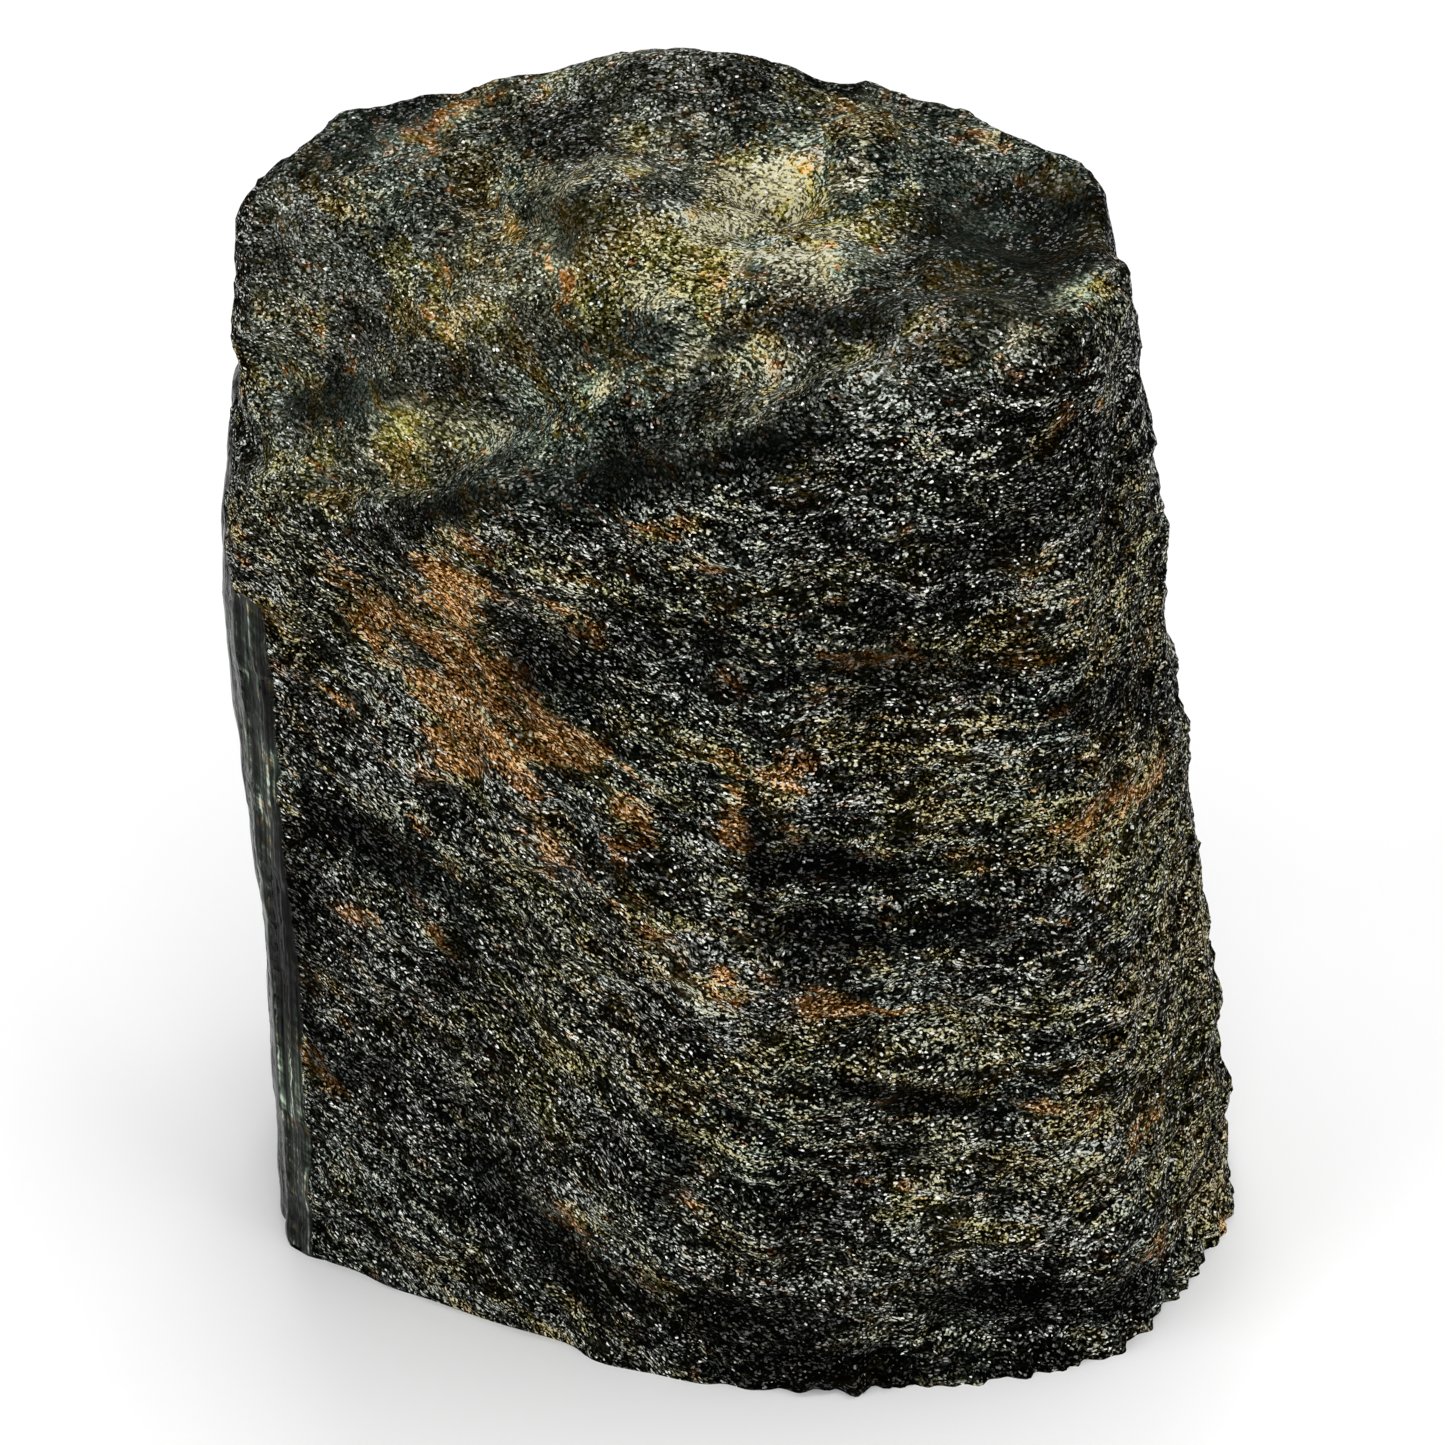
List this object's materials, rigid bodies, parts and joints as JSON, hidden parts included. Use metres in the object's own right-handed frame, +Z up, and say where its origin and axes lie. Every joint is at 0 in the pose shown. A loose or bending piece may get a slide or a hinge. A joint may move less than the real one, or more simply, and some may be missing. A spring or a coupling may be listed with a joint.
{
  "type": "rough green tourmaline crystal",
  "caption": "Thick, dark green rough tourmaline prism: broken sugary top, front and foot, grooved growth faces at the left and back, rust and cream staining.",
  "frame": {"origin": "middle of the crystal's box, at the height of the flat of its broken base", "axes": "+Z up along the prism, +X to the right and +Y to the back as seen from the broken front"},
  "size_m": [0.064, 0.0488, 0.0705],
  "materials": {
    "tourmaline": "near-black green crystal, sugary and sparkling where broken, glossy where grown, with rust, ochre and cream stains"
  },
  "bodies": {
    "root": {"tourmaline_crystal": "tourmaline"}
  },
  "joints": []
}
